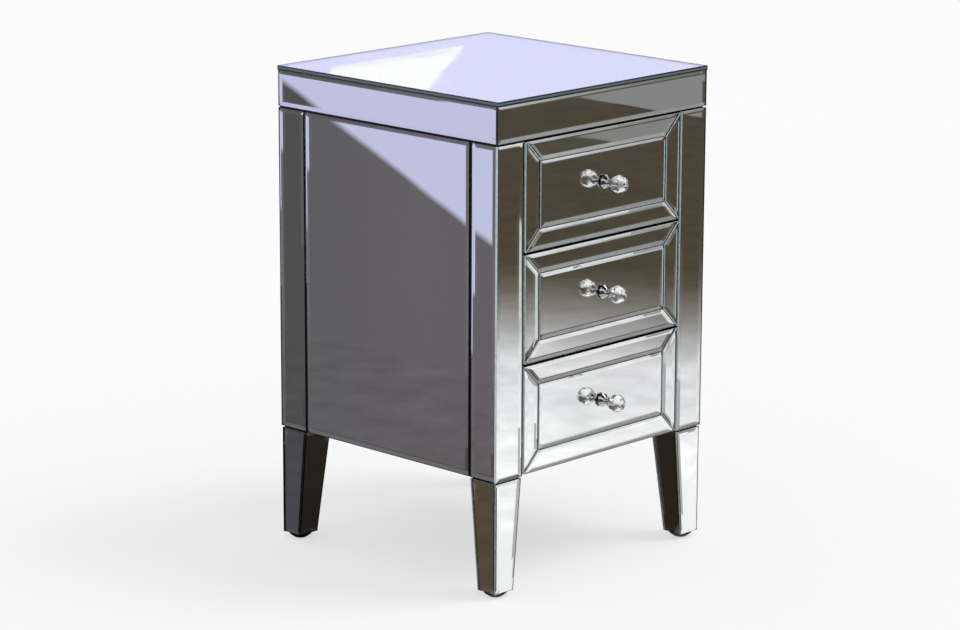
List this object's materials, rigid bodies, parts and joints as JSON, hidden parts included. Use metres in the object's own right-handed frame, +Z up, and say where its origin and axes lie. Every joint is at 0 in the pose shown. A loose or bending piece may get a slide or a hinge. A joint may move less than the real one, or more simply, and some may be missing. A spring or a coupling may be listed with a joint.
{
  "type": "mirrored bedside chest",
  "caption": "Square bedside chest clad in bevelled mirror glass, with a stack of mitre-framed mirrored drawers, cut crystal knobs and tapered mirrored legs.",
  "frame": {"origin": "on the floor, under the middle of the chest's plan, measured over the knobs, so the board body lies a little behind it", "axes": "+Z up, -Y is the way the drawer fronts face and open, +X is on the right of someone facing the drawers"},
  "size_m": [0.4, 0.436, 0.646],
  "materials": {
    "mirror_glass": "silvered float glass, polished, bevelled borders",
    "black_board": "fibreboard painted satin black",
    "back_board_paint": "hardboard painted matt black",
    "drawer_timber": "pale solid timber, sanded, thin clear lacquer",
    "drawer_plywood": "thin plywood, clear lacquer",
    "runner_hardwood": "hardwood batten, waxed",
    "cut_crystal": "clear cut crystal, polished facets",
    "bright_metal": "bright plated turned metal",
    "zinc_steel": "zinc-plated steel",
    "black_plastic": "moulded black plastic"
  },
  "bodies": {
    "carcass": {"back_board": "back_board_paint", "bottom_board": "black_board", "drawer_runners": "runner_hardwood", "foot_glides": "black_plastic", "frieze_rail": "black_board", "front_apron_mirror": "mirror_glass", "front_left_leg_core": "black_board", "front_left_leg_mirrors": "mirror_glass", "front_left_post_mirror": "mirror_glass", "front_right_leg_core": "black_board", "front_right_leg_mirrors": "mirror_glass", "front_right_post_mirror": "mirror_glass", "left_apron_mirror": "mirror_glass", "left_post_mirrors": "mirror_glass", "left_side_board": "black_board", "left_side_mirror": "mirror_glass", "left_stile": "black_board", "leg_bolts": "zinc_steel", "rear_left_leg_core": "black_board", "rear_left_leg_mirrors": "mirror_glass", "rear_right_leg_core": "black_board", "rear_right_leg_mirrors": "mirror_glass", "right_apron_mirror": "mirror_glass", "right_post_mirrors": "mirror_glass", "right_side_board": "black_board", "right_side_mirror": "mirror_glass", "right_stile": "black_board", "top_board": "black_board", "top_mirror": "mirror_glass"},
    "bottom_drawer": {"bottom_drawer_back": "drawer_timber", "bottom_drawer_bottom": "drawer_plywood", "bottom_drawer_centre_mirror": "mirror_glass", "bottom_drawer_frame_mirrors": "mirror_glass", "bottom_drawer_front_board": "black_board", "bottom_drawer_knob_collar": "bright_metal", "bottom_drawer_knob_crystal": "cut_crystal", "bottom_drawer_knob_screw": "zinc_steel", "bottom_drawer_left_side": "drawer_timber", "bottom_drawer_right_side": "drawer_timber"},
    "middle_drawer": {"middle_drawer_back": "drawer_timber", "middle_drawer_bottom": "drawer_plywood", "middle_drawer_centre_mirror": "mirror_glass", "middle_drawer_frame_mirrors": "mirror_glass", "middle_drawer_front_board": "black_board", "middle_drawer_knob_collar": "bright_metal", "middle_drawer_knob_crystal": "cut_crystal", "middle_drawer_knob_screw": "zinc_steel", "middle_drawer_left_side": "drawer_timber", "middle_drawer_right_side": "drawer_timber"},
    "top_drawer": {"top_drawer_back": "drawer_timber", "top_drawer_bottom": "drawer_plywood", "top_drawer_centre_mirror": "mirror_glass", "top_drawer_frame_mirrors": "mirror_glass", "top_drawer_front_board": "black_board", "top_drawer_knob_collar": "bright_metal", "top_drawer_knob_crystal": "cut_crystal", "top_drawer_knob_screw": "zinc_steel", "top_drawer_left_side": "drawer_timber", "top_drawer_right_side": "drawer_timber"}
  },
  "joints": [
    {"name": "bottom_drawer_slide", "type": "slide", "parent": "carcass", "child": "bottom_drawer", "axis": [0, -1, 0], "range_m": [0, 0.26]},
    {"name": "middle_drawer_slide", "type": "slide", "parent": "carcass", "child": "middle_drawer", "axis": [0, -1, 0], "range_m": [0, 0.26]},
    {"name": "top_drawer_slide", "type": "slide", "parent": "carcass", "child": "top_drawer", "axis": [0, -1, 0], "range_m": [0, 0.26]}
  ]
}
